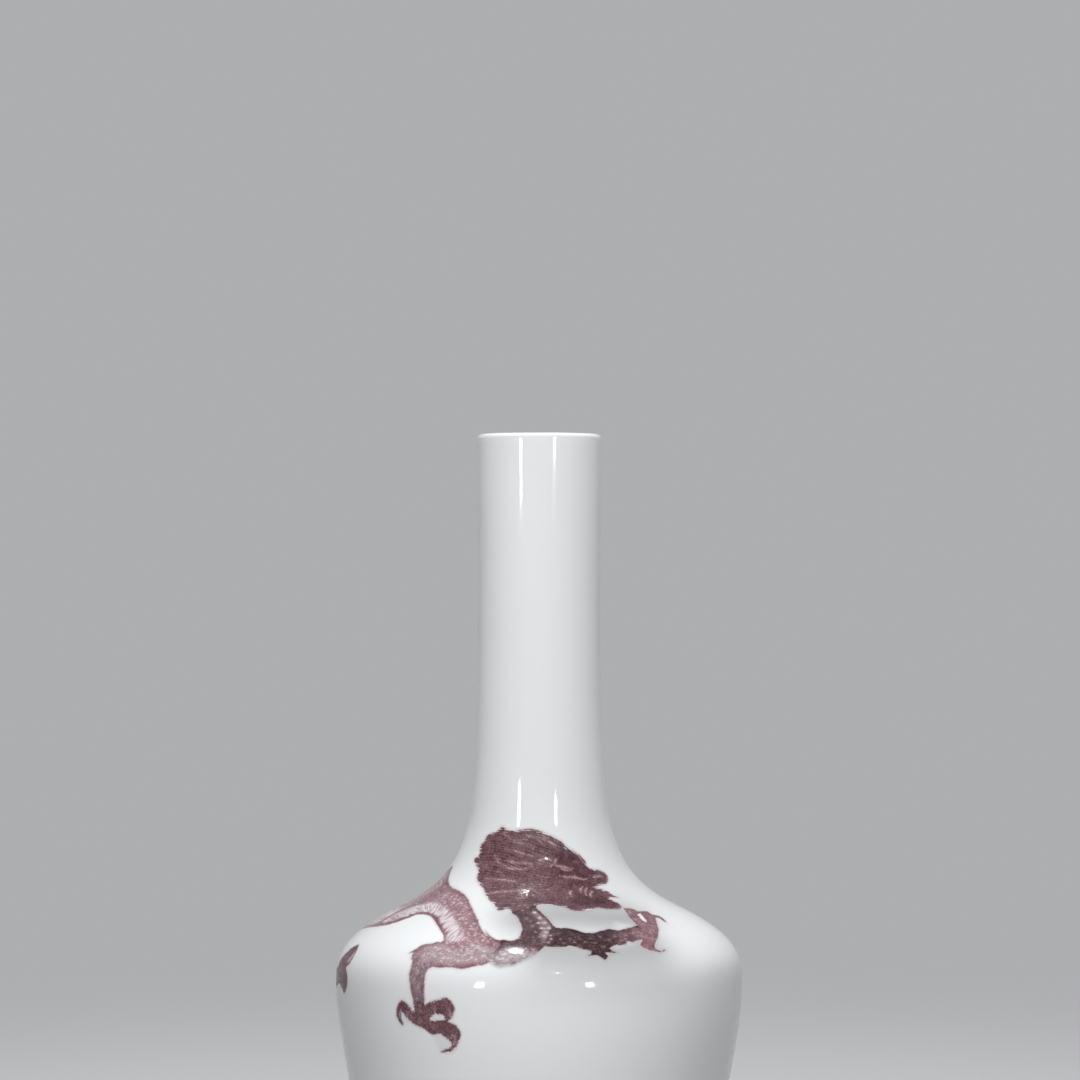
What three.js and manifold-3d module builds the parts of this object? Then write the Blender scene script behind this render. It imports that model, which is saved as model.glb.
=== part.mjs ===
// Handbell-shaped porcelain vase with a dragon painted in copper red under a clear glaze.
// Millimetres, +Z up, the foot stands on z = 0 and the painted front faces -Y.
import * as THREE from 'three';
import { mergeVertices } from 'three/addons/utils/BufferGeometryUtils.js';
import Module from 'manifold-3d';

const wasm = await Module();
wasm.setup();

// Outer outline of the glazed vase, from the foot up
const footRadius = 45;
const glazeLineHeight = 4;
const lowerBodyInset = 3.9;
const lowerBodyHeight = 42.8;
const bellyRadius = 62;
const bellyHeight = 72.5;
const shoulderInset = 18.8;
const shoulderRise = 22.9;
const neckRootRadius = 22.3;
const neckRootRise = 24.1;
const neckWaistRadius = 18.73;
const neckWaistHeight = 192;
const rimRadius = 19.05;
const vaseHeight = 240;
const lipRise = 1.4;

// Walls, coats and clearances
const clayWall = 2.6;
const glazeCoat = 0.45;
const underGlazeLevel = 0.35;
const pigmentFilm = 0.15;
const pigmentClearance = 0.1;

// Luted joints and the turned foot
const bodyJointDrop = 2.5;
const neckJointRise = 2.5;
const lutingSlip = 0.8;
const mouthSeamDrop = 7;
const footRingWall = 4.2;
const footRingDepth = 7;
const footBevel = 0.6;
const footCove = 1.6;
const baseThickness = 5;
const floorCornerRadius = 12;
const baseGlazeClearance = 0.3;

// Reach of the painted dragon past the belly and the root of the neck
const dragonDrop = 14.5;
const dragonRise = 1.5;

// Facets round the axis and along the outline
const facetsRound = 36;
const cornerSteps = 3;
const lipSteps = 3;

const lowerBodyRadius = bellyRadius - lowerBodyInset;
const shoulderRadius = bellyRadius - shoulderInset;
const shoulderHeight = bellyHeight + shoulderRise;
const neckRootHeight = shoulderHeight + neckRootRise;
const rimHeight = vaseHeight - lipRise;
const bodyJointHeight = bellyHeight - bodyJointDrop;
const neckJointHeight = neckRootHeight + neckJointRise;
const dragonLowHeight = bellyHeight - dragonDrop;
const dragonHighHeight = neckRootHeight + dragonRise;
const mouthSeamHeight = vaseHeight - mouthSeamDrop;
const clayDepth = glazeCoat + underGlazeLevel;
const wallDepth = 2 * clayDepth + clayWall;
const clayFloorHeight = footRingDepth + baseThickness;
const hollowFloorHeight = clayFloorHeight + clayDepth;
const lipHalfWidth = wallDepth / 2;
const crestRadius = rimRadius - lipHalfWidth;

const degrees = THREE.MathUtils.degToRad;

// A knot's lean is its outward slope from the vertical, its ease shares are how far the curve
// keeps to that slope below and above it, as shares of the distance to the next knot
const outlineKnots = [
  { radius: footRadius, height: glazeLineHeight, lean: 20, aboveShare: 0.25, steps: 2 },
  {
    radius: lowerBodyRadius, height: lowerBodyHeight, lean: 9.5,
    belowShare: 0.34, aboveShare: 0.5, steps: 3,
  },
  { radius: bellyRadius, height: bellyHeight, lean: 0, belowShare: 0.29, aboveShare: 0.24, steps: 5 },
  { radius: shoulderRadius, height: shoulderHeight, lean: -64, belowShare: 0.71, aboveShare: 0.5, steps: 5 },
  { radius: neckRootRadius, height: neckRootHeight, lean: -16, belowShare: 0.33, aboveShare: 0.16, steps: 3 },
  { radius: neckWaistRadius, height: neckWaistHeight, lean: 0, belowShare: 0.31, aboveShare: 0.26, steps: 1 },
  { radius: rimRadius, height: rimHeight, lean: 0, belowShare: 0.26 },
];

function curveBetween(low, high) {
  const start = new THREE.Vector2(low.radius, low.height);
  const end = new THREE.Vector2(high.radius, high.height);
  const span = start.distanceTo(end);
  const leave = new THREE.Vector2(Math.sin(degrees(low.lean)), Math.cos(degrees(low.lean)));
  const arrive = new THREE.Vector2(Math.sin(degrees(high.lean)), Math.cos(degrees(high.lean)));
  return new THREE.CubicBezierCurve(
    start,
    start.clone().addScaledVector(leave, low.aboveShare * span),
    end.clone().addScaledVector(arrive, -high.belowShare * span),
    end,
  );
}

// Points of the glazed outside from the glaze line to the crest of the lip
function glazedOutside() {
  const points = [new THREE.Vector2(outlineKnots[0].radius, outlineKnots[0].height)];
  for (let i = 1; i < outlineKnots.length; i += 1) {
    const curve = curveBetween(outlineKnots[i - 1], outlineKnots[i]);
    points.push(...curve.getPoints(outlineKnots[i - 1].steps).slice(1));
  }
  const lip = new THREE.EllipseCurve(crestRadius, rimHeight, lipHalfWidth, lipRise, 0, Math.PI / 2);
  points.push(...lip.getPoints(lipSteps).slice(1));
  return points;
}

// Moves every point of an outline square to it, to its left for a positive distance
function offsetOutline(points, distance) {
  return points.map((point, i) => {
    const before = points[Math.max(i - 1, 0)];
    const after = points[Math.min(i + 1, points.length - 1)];
    const run = after.clone().sub(before).normalize();
    return new THREE.Vector2(point.x - run.y * distance, point.y + run.x * distance);
  });
}

const outside = glazedOutside();

// Points of the glazed hollow from the crest of the lip down to the middle of the floor
function glazedHollow() {
  const lip = new THREE.EllipseCurve(crestRadius, rimHeight, lipHalfWidth, lipRise, Math.PI / 2, Math.PI);
  const walls = offsetOutline(outside.slice(0, -lipSteps), wallDepth)
    .filter((point) => point.y > hollowFloorHeight + floorCornerRadius && point.y < rimHeight)
    .reverse();
  const lowest = walls[walls.length - 1];
  const corner = new THREE.QuadraticBezierCurve(
    lowest,
    new THREE.Vector2(lowest.x - floorCornerRadius / 2, hollowFloorHeight),
    new THREE.Vector2(lowest.x - 2 * floorCornerRadius, hollowFloorHeight),
  );
  return [
    ...lip.getPoints(lipSteps),
    ...walls,
    ...corner.getPoints(cornerSteps).slice(1),
    new THREE.Vector2(0, hollowFloorHeight),
  ];
}

const hollow = glazedHollow();

// The outside and the hollow as seen at some depth in the wall, each from the bottom up
function outsideAt(depth) {
  const points = offsetOutline(outside, depth);
  points[points.length - 1].set(crestRadius, vaseHeight - depth);
  return points;
}

function hollowAt(depth) {
  const points = offsetOutline(hollow, depth);
  points[0].set(crestRadius, vaseHeight - depth);
  points[points.length - 1].set(0, hollowFloorHeight - depth);
  return points.reverse();
}

// The point of a rising outline at some height, or its end where it doesn't reach that height
function pointAt(points, height) {
  const next = points.findIndex((point) => point.y >= height);
  if (next < 1) {
    return points[next === 0 ? 0 : points.length - 1].clone();
  }
  const below = points[next - 1];
  return below.clone().lerp(points[next], (height - below.y) / (points[next].y - below.y));
}

function withoutRepeats(points) {
  return points.filter((point, i) => i === 0 || !point.equals(points[i - 1]));
}

// The stretch of a rising outline between two heights, with its ends cut level
function stretch(points, low, high) {
  const middle = points.filter((point) => point.y >= low && point.y <= high);
  return withoutRepeats([pointAt(points, low), ...middle, pointAt(points, high)]);
}

// Solid of revolution of an outline that ends on the axis or else closes on itself
function turned(points) {
  const outline = withoutRepeats(points);
  const endsOnAxis = outline[0].x === 0 && outline[outline.length - 1].x === 0;
  const profile = endsOnAxis ? outline : [...outline, outline[0].clone()];
  return new THREE.LatheGeometry(profile, facetsRound).rotateX(Math.PI / 2);
}

// Clay wall between two heights
function wallSection(low, high) {
  const outer = stretch(outsideAt(clayDepth), low, high);
  const inner = stretch(hollowAt(clayDepth), low, high);
  return [...outer, ...inner.reverse()];
}

// Lower body: foot ring, recessed base and wall up to the joint at the belly
function lowerBodyOutline() {
  const top = bodyJointHeight - lutingSlip / 2;
  const footOuter = outsideAt(clayDepth)[0].x;
  const footInner = footOuter - footRingWall;
  const outer = stretch(outsideAt(clayDepth), glazeLineHeight, top);
  const inner = stretch(hollowAt(clayDepth), clayFloorHeight, top);
  return [
    new THREE.Vector2(0, footRingDepth),
    new THREE.Vector2(footInner - footCove, footRingDepth),
    new THREE.Vector2(footInner, footRingDepth - footCove),
    new THREE.Vector2(footInner, footBevel),
    new THREE.Vector2(footInner + footBevel, 0),
    new THREE.Vector2(footOuter - footBevel, 0),
    new THREE.Vector2(footOuter, footBevel),
    ...outer,
    ...inner.reverse(),
  ];
}

// Outer glaze: up the outside, over the lip and down to the seam inside the mouth
function outerGlazeOutline() {
  return [
    ...stretch(outsideAt(0), glazeLineHeight, vaseHeight),
    ...stretch(hollowAt(0), mouthSeamHeight, vaseHeight).reverse(),
    ...stretch(hollowAt(glazeCoat), mouthSeamHeight, vaseHeight),
    ...stretch(outsideAt(glazeCoat), glazeLineHeight, vaseHeight).reverse(),
  ];
}

// Inner glaze: a thin cup from the seam in the mouth down to the floor of the hollow
function innerGlazeOutline() {
  return [
    ...stretch(hollowAt(glazeCoat), hollowFloorHeight - glazeCoat, mouthSeamHeight),
    ...stretch(hollowAt(0), hollowFloorHeight, mouthSeamHeight).reverse(),
  ];
}

// Base glaze: a thin disc in the recess inside the foot ring
function baseGlazeOutline() {
  const top = footRingDepth - baseGlazeClearance;
  const edge = outsideAt(clayDepth)[0].x - footRingWall - footCove - baseGlazeClearance;
  return [
    new THREE.Vector2(0, top - glazeCoat),
    new THREE.Vector2(edge, top - glazeCoat),
    new THREE.Vector2(edge, top),
    new THREE.Vector2(0, top),
  ];
}

function asSolid(geometry) {
  const bare = geometry.clone();
  bare.deleteAttribute('normal');
  bare.deleteAttribute('uv');
  const merged = mergeVertices(bare);
  return new wasm.Manifold(new wasm.Mesh({
    numProp: 3,
    vertProperties: Float32Array.from(merged.attributes.position.array),
    triVerts: Uint32Array.from(merged.index.array),
  }));
}

function asGeometry(solid) {
  const mesh = solid.getMesh();
  const geometry = new THREE.BufferGeometry();
  geometry.setAttribute('position', new THREE.BufferAttribute(mesh.vertProperties, 3));
  geometry.setIndex(new THREE.BufferAttribute(mesh.triVerts, 1));
  geometry.computeVertexNormals();
  return geometry;
}

// Shell between clay and glaze that the pigment is laid in
const paintOverrun = 4;
function pigmentShell() {
  const low = dragonLowHeight - paintOverrun;
  const high = dragonHighHeight + paintOverrun;
  const outerDepth = clayDepth - pigmentClearance - pigmentFilm;
  const innerDepth = clayDepth - pigmentClearance;
  return asSolid(turned([
    ...stretch(outsideAt(outerDepth), low, high),
    ...stretch(outsideAt(innerDepth), low, high).reverse(),
  ]));
}

// Wedge that runs out from the axis through a painted outline. A point of the outline is an
// angle round the vase from its front, in degrees to the right, and a share of the dragon's height
const wedgeInnerRadius = neckWaistRadius / 3;
const wedgeOuterRadius = 3 * bellyRadius;
function wedge(outline) {
  const shape = new THREE.Shape(outline.map(([angle, share]) => new THREE.Vector2(angle, share)));
  const geometry = new THREE.ExtrudeGeometry(shape, { depth: 1, bevelEnabled: false });
  const places = geometry.attributes.position;
  for (let i = 0; i < places.count; i += 1) {
    const angle = degrees(places.getX(i));
    const height = THREE.MathUtils.lerp(dragonLowHeight, dragonHighHeight, places.getY(i));
    const radius = THREE.MathUtils.lerp(wedgeInnerRadius, wedgeOuterRadius, places.getZ(i));
    places.setXYZ(i, radius * Math.sin(angle), -radius * Math.cos(angle), height);
  }
  return asSolid(geometry);
}

// Outline of a tapering band from its middle line. Each place is an angle, a height share and
// a half width as a share of the painted band
function bandOutline(places) {
  const upper = places.map(([angle, share, halfShare]) => [angle, share + halfShare]);
  const lower = places.map(([angle, share, halfShare]) => [angle, share - halfShare]);
  return [...upper, ...lower.reverse()];
}

// Painted outlines of the dragon, each point an angle and a height share
const maneShares = [
  [-39, 0.975], [-30, 1], [-22, 0.985], [-10, 1], [-1, 0.99], [-3, 0.87], [-5, 0.79], [-8, 0.66],
  [-16, 0.63], [-20, 0.635], [-24, 0.66], [-28, 0.68], [-33, 0.73], [-40, 0.765], [-51, 0.84],
  [-51, 0.905], [-46, 0.945],
];
const headShares = [
  [1, 0.99], [10, 0.965], [19, 0.925], [27, 0.89], [33, 0.85], [34, 0.82], [41, 0.805], [46, 0.79],
  [46, 0.76], [41, 0.74], [34, 0.73], [40, 0.71], [44, 0.675], [38, 0.68], [40, 0.64], [35, 0.63],
  [19, 0.635], [3, 0.66], [-5.5, 0.66], [-3, 0.78], [-1, 0.86],
];
const foreBodyShares = [
  [-12, 0.61], [-6, 0.635], [-1, 0.64], [2, 0.62], [4, 0.59], [5.5, 0.565], [1.5, 0.48], [-1, 0.455],
  [-7, 0.42], [-16, 0.405], [-25, 0.385], [-31, 0.39], [-32.5, 0.5], [-33.5, 0.52], [-38, 0.56],
  [-44, 0.585], [-52, 0.6], [-59, 0.595], [-65, 0.545], [-73, 0.525], [-80, 0.51], [-88, 0.52],
  [-88, 0.77], [-80, 0.79], [-66, 0.74], [-50, 0.71], [-40, 0.69], [-33, 0.645], [-26, 0.6],
  [-19, 0.54], [-15, 0.52], [-10, 0.525], [-7, 0.56], [-7, 0.59],
];
const raisedForelegShares = [
  [6.8, 0.56], [15, 0.55], [24, 0.555], [33, 0.55], [39, 0.575], [40, 0.635], [44, 0.635], [52, 0.61],
  [55, 0.595], [54, 0.57], [50, 0.57], [47, 0.535], [42, 0.505], [38, 0.47], [41, 0.46], [38, 0.445],
  [35, 0.455], [33, 0.495], [28, 0.49], [22, 0.48], [24, 0.455], [19, 0.425], [15, 0.445], [15, 0.47],
  [8, 0.485], [3, 0.485],
];
const loweredForelegShares = [
  [-34, 0.48], [-38, 0.49], [-41, 0.445], [-39, 0.41], [-38.5, 0.33], [-37, 0.27], [-37, 0.215],
  [-41, 0.23], [-43.5, 0.17], [-43, 0.125], [-41, 0.105], [-40.5, 0.145], [-35, 0.11], [-29, 0.075],
  [-25, 0.035], [-28, 0], [-25, 0.01], [-23, 0.05], [-22, 0.09], [-25, 0.13], [-24, 0.19],
  [-24, 0.235], [-27, 0.26], [-32, 0.22], [-33, 0.275], [-33, 0.335], [-32.6, 0.38],
];
const sideHindLegShares = [
  [-73, 0.445], [-72, 0.41], [-76, 0.355], [-71, 0.31], [-76, 0.28], [-72, 0.205], [-79, 0.2],
  [-95, 0.23], [-106, 0.29], [-116, 0.4], [-112, 0.455], [-104, 0.44], [-98, 0.385], [-90, 0.345],
  [-83, 0.385],
];
const backHindLegShares = [
  [-158, 0.4], [-156, 0.32], [-160, 0.24], [-153, 0.2], [-157, 0.15], [-154, 0.1], [-160, 0.12],
  [-163, 0.07], [-167, 0.12], [-173, 0.13], [-170, 0.18], [-166, 0.22], [-168, 0.33], [-173, 0.42],
];
const rearBodyShares = [
  [-90, 0.645, 0.125], [-100, 0.625, 0.12], [-112, 0.585, 0.115], [-124, 0.545, 0.105],
  [-136, 0.515, 0.1], [-148, 0.505, 0.09], [-160, 0.515, 0.085],
];
const tailShares = [
  [-162, 0.52, 0.085], [-176, 0.565, 0.08], [-190, 0.62, 0.07], [-203, 0.655, 0.06],
  [-215, 0.64, 0.05], [-226, 0.585, 0.045], [-236, 0.53, 0.035], [-246, 0.515, 0.025], [-254, 0.55, 0.012],
];

const vase = new THREE.Group();

function addPiece(name, geometry, material) {
  const piece = new THREE.Mesh(geometry, material);
  piece.name = name;
  vase.add(piece);
}

// Fired porcelain, luted from three thrown sections
function addClay() {
  const clay = () => new THREE.MeshStandardMaterial({ color: 0xe9e6df, roughness: 0.85, metalness: 0 });
  const slip = () => new THREE.MeshStandardMaterial({ color: 0xdedad2, roughness: 0.9, metalness: 0 });
  const halfSlip = lutingSlip / 2;
  addPiece('lower_body', turned(lowerBodyOutline()), clay());
  addPiece(
    'body_luting_slip',
    turned(wallSection(bodyJointHeight - halfSlip, bodyJointHeight + halfSlip)),
    slip(),
  );
  addPiece('shoulder', turned(wallSection(bodyJointHeight + halfSlip, neckJointHeight - halfSlip)), clay());
  addPiece(
    'neck_luting_slip',
    turned(wallSection(neckJointHeight - halfSlip, neckJointHeight + halfSlip)),
    slip(),
  );
  addPiece('neck', turned(wallSection(neckJointHeight + halfSlip, vaseHeight)), clay());
}

// Painted film of copper red
function addDragon() {
  const shell = pigmentShell();
  const copperRed = (color) => new THREE.MeshStandardMaterial({ color, roughness: 0.35, metalness: 0 });
  const patches = {
    dragon_mane: [maneShares, 0x5f2f36],
    dragon_head: [headShares, 0x7a4349],
    dragon_fore_body: [foreBodyShares, 0x8a545a],
    dragon_raised_foreleg: [raisedForelegShares, 0x6f3a41],
    dragon_lowered_foreleg: [loweredForelegShares, 0x6f3a41],
    dragon_rear_body: [bandOutline(rearBodyShares), 0x8a545a],
    dragon_side_hind_leg: [sideHindLegShares, 0x6f3a41],
    dragon_back_hind_leg: [backHindLegShares, 0x6f3a41],
    dragon_tail: [bandOutline(tailShares), 0x7a4349],
  };
  for (const [name, [outline, color]] of Object.entries(patches)) {
    addPiece(name, asGeometry(shell.intersect(wedge(outline))), copperRed(color));
  }
}

// Clear, slightly blue glaze
function addGlaze() {
  const glaze = () => new THREE.MeshStandardMaterial({
    color: 0xe4e8ea, roughness: 0.12, metalness: 0, transparent: true, opacity: 0.35,
  });
  addPiece('outer_glaze', turned(outerGlazeOutline()), glaze());
  addPiece('inner_glaze', turned(innerGlazeOutline()), glaze());
  addPiece('base_glaze', turned(baseGlazeOutline()), glaze());
}

addClay();
addDragon();
addGlaze();

export default vase;
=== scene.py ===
"""Handbell-shaped porcelain vase with a dragon painted in copper red under a clear glaze.

Metres, +Z up. The foot stands on z = 0 and the painted front faces -Y. Along the painted surface,
a place is an angle round the axis from the front, towards +X, and a rise along the outline.
"""

import math

import bpy
import numpy as np
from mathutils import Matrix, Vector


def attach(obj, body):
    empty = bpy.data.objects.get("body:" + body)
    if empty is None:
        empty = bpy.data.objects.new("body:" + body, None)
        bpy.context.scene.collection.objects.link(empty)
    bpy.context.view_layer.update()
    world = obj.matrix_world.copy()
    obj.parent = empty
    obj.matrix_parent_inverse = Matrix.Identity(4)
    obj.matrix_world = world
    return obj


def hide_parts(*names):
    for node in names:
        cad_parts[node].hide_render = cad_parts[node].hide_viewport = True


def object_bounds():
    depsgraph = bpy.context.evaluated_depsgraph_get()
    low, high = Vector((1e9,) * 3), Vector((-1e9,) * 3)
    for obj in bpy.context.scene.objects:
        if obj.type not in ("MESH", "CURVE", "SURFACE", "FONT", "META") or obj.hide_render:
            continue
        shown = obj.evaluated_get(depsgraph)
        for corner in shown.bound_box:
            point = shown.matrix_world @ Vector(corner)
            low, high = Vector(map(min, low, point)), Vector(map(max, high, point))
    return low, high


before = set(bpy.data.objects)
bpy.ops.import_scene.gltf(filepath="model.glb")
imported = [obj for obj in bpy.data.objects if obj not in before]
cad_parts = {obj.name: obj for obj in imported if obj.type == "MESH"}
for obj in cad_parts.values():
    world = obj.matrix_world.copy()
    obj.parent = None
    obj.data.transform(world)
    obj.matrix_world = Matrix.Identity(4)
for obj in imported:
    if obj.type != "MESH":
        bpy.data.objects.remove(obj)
cad_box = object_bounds()

MM = 0.001

# The camera of the photograph: its picture, its focal length in pixels, its place and its sight
PICTURE_SIZE = 1080
PICTURE_MIDDLE = PICTURE_SIZE / 2
FOCAL_PIXELS = 4000
SENSOR_WIDTH_MM = 36
CAMERA_REACH = 50
CAMERA_PLACE = (0.2 * MM, -1222 * MM, 207.6 * MM)

# Outline of the glazed outside from the glaze line up. A knot has a radius, a height, a lean in
# degrees from the vertical, and how far the curve keeps that lean below and above it, as shares
# of the distance to the next knot
BELLY_RADIUS = cad_box[1].x
VASE_HEIGHT = cad_box[1].z
LIP_RISE = 1.4 * MM
RIM_HEIGHT = VASE_HEIGHT - LIP_RISE
RIM_RADIUS = 19.05 * MM
OUTLINE_KNOTS = [
    (45 * MM, 4 * MM, 20, 0, 0.25),
    (BELLY_RADIUS - 3.9 * MM, 42.8 * MM, 9.5, 0.34, 0.5),
    (BELLY_RADIUS, 72.5 * MM, 0, 0.29, 0.24),
    (BELLY_RADIUS - 18.8 * MM, 95.4 * MM, -64, 0.71, 0.5),
    (22.3 * MM, 119.5 * MM, -16, 0.33, 0.16),
    (18.73 * MM, 192 * MM, 0, 0.31, 0.26),
    (RIM_RADIUS, RIM_HEIGHT, 0, 0.26, 0),
]
GLAZE_LINE_HEIGHT = OUTLINE_KNOTS[0][1]

# Walls, coats and joints, as in the solids
GLAZE_COAT = 0.45 * MM
CLAY_DEPTH = GLAZE_COAT + 0.35 * MM
CLAY_WALL = 2.6 * MM
WALL_DEPTH = 2 * CLAY_DEPTH + CLAY_WALL
LIP_HALF_WIDTH = WALL_DEPTH / 2
CREST_RADIUS = RIM_RADIUS - LIP_HALF_WIDTH
FOOT_RING_WALL = 4.2 * MM
FOOT_RING_DEPTH = 7 * MM
FOOT_BEVEL = 0.6 * MM
FOOT_COVE = 1.6 * MM
BASE_GLAZE_GAP = 0.3 * MM
CLAY_FLOOR_HEIGHT = FOOT_RING_DEPTH + 5 * MM
HOLLOW_FLOOR_HEIGHT = CLAY_FLOOR_HEIGHT + CLAY_DEPTH
FLOOR_CORNER_RADIUS = 12 * MM
BODY_JOINT_HEIGHT = 70 * MM
NECK_JOINT_HEIGHT = 122 * MM
HALF_SLIP = 0.4 * MM
MOUTH_SEAM_HEIGHT = VASE_HEIGHT - 7 * MM

# How far the thrown wall stands off a true round
OVAL = 0.05 * MM
HAND_WAVE = 0.03 * MM
THROWING_RINGS = 0.02 * MM

# Band that carries the painting, and how fine the curves and the meshes are
BAND_LOW = 56 * MM
BAND_HIGH = 122 * MM
CURVE_POINTS = 200
LIP_POINTS = 40
CORNER_POINTS = 30
OUTLINE_STEP = 0.1 * MM
BAND_STEP = 0.3 * MM
LIP_STEP = 0.35 * MM
WALL_STEP = 1 * MM
NECK_STEP = 1.5 * MM
HIDDEN_STEP = 2.5 * MM
TOUCHING = 0.01 * MM
GLAZE_COLUMNS = 900
PLAIN_COLUMNS = 240
FIRST_ANGLE = math.radians(-135)
SHARP_ANGLE = math.radians(35)


def lean_direction(lean):
    return np.array([math.sin(math.radians(lean)), math.cos(math.radians(lean))])


def curve_between(low, high):
    """Dense points of the outline from one knot to the next."""
    start = np.array(low[:2])
    end = np.array(high[:2])
    span = math.dist(start, end)
    leave = start + low[4] * span * lean_direction(low[2])
    arrive = end - high[3] * span * lean_direction(high[2])
    t = np.linspace(0, 1, CURVE_POINTS)[:, None]
    s = 1 - t
    return s**3 * start + 3 * s**2 * t * leave + 3 * s * t**2 * arrive + t**3 * end


def arc(middle, radii, start_degrees, end_degrees, points=6):
    """Arc round a middle. The radii are one number for a circle, or two, across and up."""
    turn = np.radians(np.linspace(start_degrees, end_degrees, points))
    return middle + radii * np.stack([np.cos(turn), np.sin(turn)], 1)


def lip_arc(start_degrees, end_degrees):
    """Half-round lip between two angles, from 0 at the outside to 180 in the mouth."""
    middle = (CREST_RADIUS, RIM_HEIGHT)
    return arc(middle, (LIP_HALF_WIDTH, LIP_RISE), start_degrees, end_degrees, LIP_POINTS)


def lengths_along(points):
    steps = np.hypot(*np.diff(points, axis=0).T)
    return np.concatenate([[0], np.cumsum(steps)])


def evenly(points, spacing=WALL_STEP):
    """The same line with points about one spacing apart."""
    along = lengths_along(points)
    wanted = np.linspace(0, along[-1], max(2, round(along[-1] / spacing) + 1))
    return np.stack([np.interp(wanted, along, points[:, k]) for k in (0, 1)], 1)


def offset(points, distance):
    """Moves each point of a line square to it, to its left."""
    run = np.gradient(points, axis=0)
    run /= np.hypot(*run.T)[:, None]
    return points + distance * np.stack([-run[:, 1], run[:, 0]], 1)


def between(points, low, high, spacing=WALL_STEP):
    """Even points on the stretch of a rising line between two heights, with its ends cut level."""
    ends = [np.array([np.interp(h, points[:, 1], points[:, 0]), h]) for h in (low, high)]
    inside = points[(points[:, 1] > low + TOUCHING) & (points[:, 1] < high - TOUCHING)]
    return evenly(np.concatenate([ends[:1], inside, ends[1:]]), spacing)


def glazed_outside():
    curves = [curve_between(a, b) for a, b in zip(OUTLINE_KNOTS, OUTLINE_KNOTS[1:])]
    joined = np.concatenate([curves[0][:1]] + [curve[1:] for curve in curves])
    return evenly(np.concatenate([joined, lip_arc(0, 90)[1:]]), OUTLINE_STEP)


OUTSIDE = glazed_outside()


def glazed_hollow():
    """Line of the hollow from the middle of the floor up to the crest of the lip."""
    walls = offset(OUTSIDE, WALL_DEPTH)
    lowest = HOLLOW_FLOOR_HEIGHT + FLOOR_CORNER_RADIUS
    walls = walls[(walls[:, 1] > lowest) & (OUTSIDE[:, 1] < RIM_HEIGHT)]
    corner = walls[0]
    t = np.linspace(0, 1, CORNER_POINTS)[:, None]
    bend = np.array([corner[0] - FLOOR_CORNER_RADIUS / 2, HOLLOW_FLOOR_HEIGHT])
    flat = np.array([corner[0] - 2 * FLOOR_CORNER_RADIUS, HOLLOW_FLOOR_HEIGHT])
    turn = (1 - t) ** 2 * flat + 2 * (1 - t) * t * bend + t**2 * corner
    middle = np.array([[0, HOLLOW_FLOOR_HEIGHT]])
    return np.concatenate([middle, turn[:-1], walls, lip_arc(180, 90)])


HOLLOW = glazed_hollow()


def outside_at(depth):
    line = offset(OUTSIDE, depth)
    line[-1] = CREST_RADIUS, VASE_HEIGHT - depth
    return line


def hollow_at(depth):
    line = offset(HOLLOW, -depth)
    line[0] = 0, HOLLOW_FLOOR_HEIGHT - depth
    line[-1] = CREST_RADIUS, VASE_HEIGHT - depth
    return line


def unevenness(angle, height):
    """How far the wall stands off a true round there. Every wall and coat follows it."""
    oval = OVAL * np.cos(2 * angle + 0.7)
    hand = HAND_WAVE * np.cos(3 * angle + 55 * height + 1.9)
    rings = THROWING_RINGS * np.cos(210 * height + 2 * np.sin(angle))
    return oval + hand + rings


def add_object(name, data):
    added = bpy.data.objects.new(name, data)
    bpy.context.scene.collection.objects.link(added)
    return added


def turned(name, line, columns):
    """Closed solid of revolution of a line that ends on the axis at both ends or else is a loop."""
    on_axis = line[0, 0] < TOUCHING and line[-1, 0] < TOUCHING
    ring_line = line[1:-1] if on_axis else line
    rows = len(ring_line)
    angles = FIRST_ANGLE + np.arange(columns) * 2 * math.pi / columns
    heights = np.repeat(ring_line[:, 1:], columns, axis=1)
    swell = unevenness(angles[None], heights) * np.clip(ring_line[:, :1] / RIM_RADIUS, 0, 1)
    radii = ring_line[:, :1] + swell
    places = np.stack([radii * np.sin(angles), -radii * np.cos(angles), heights], 2).reshape(-1, 3)
    column = np.arange(columns)
    after = (column + 1) % columns
    row = np.arange(rows - 1 if on_axis else rows)[:, None]
    here, over = row * columns, (row + 1) % rows * columns
    faces = np.stack([here + column, here + after, over + after, over + column], 2)
    faces = faces.reshape(-1, 4).tolist()
    if on_axis:
        top = (rows - 1) * columns
        for height, first, second in (line[0, 1], after, column), (line[-1, 1], top + column, top + after):
            faces += [(len(places), a, b) for a, b in zip(first.tolist(), second.tolist())]
            places = np.concatenate([places, [[0, 0, height]]])
    mesh = bpy.data.meshes.new(name)
    mesh.from_pydata(places, [], faces, shade_flat=False)
    mesh.set_sharp_from_angle(angle=SHARP_ANGLE)
    return add_object(name, mesh)


def finish_piece(piece, material, slot, *nodes):
    piece.data.materials.append(material)
    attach(piece, "root")
    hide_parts(*nodes)


def add_plain_piece(name, line, material, slot, node):
    finish_piece(turned(name, line, PLAIN_COLUMNS), material, slot, node)


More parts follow.
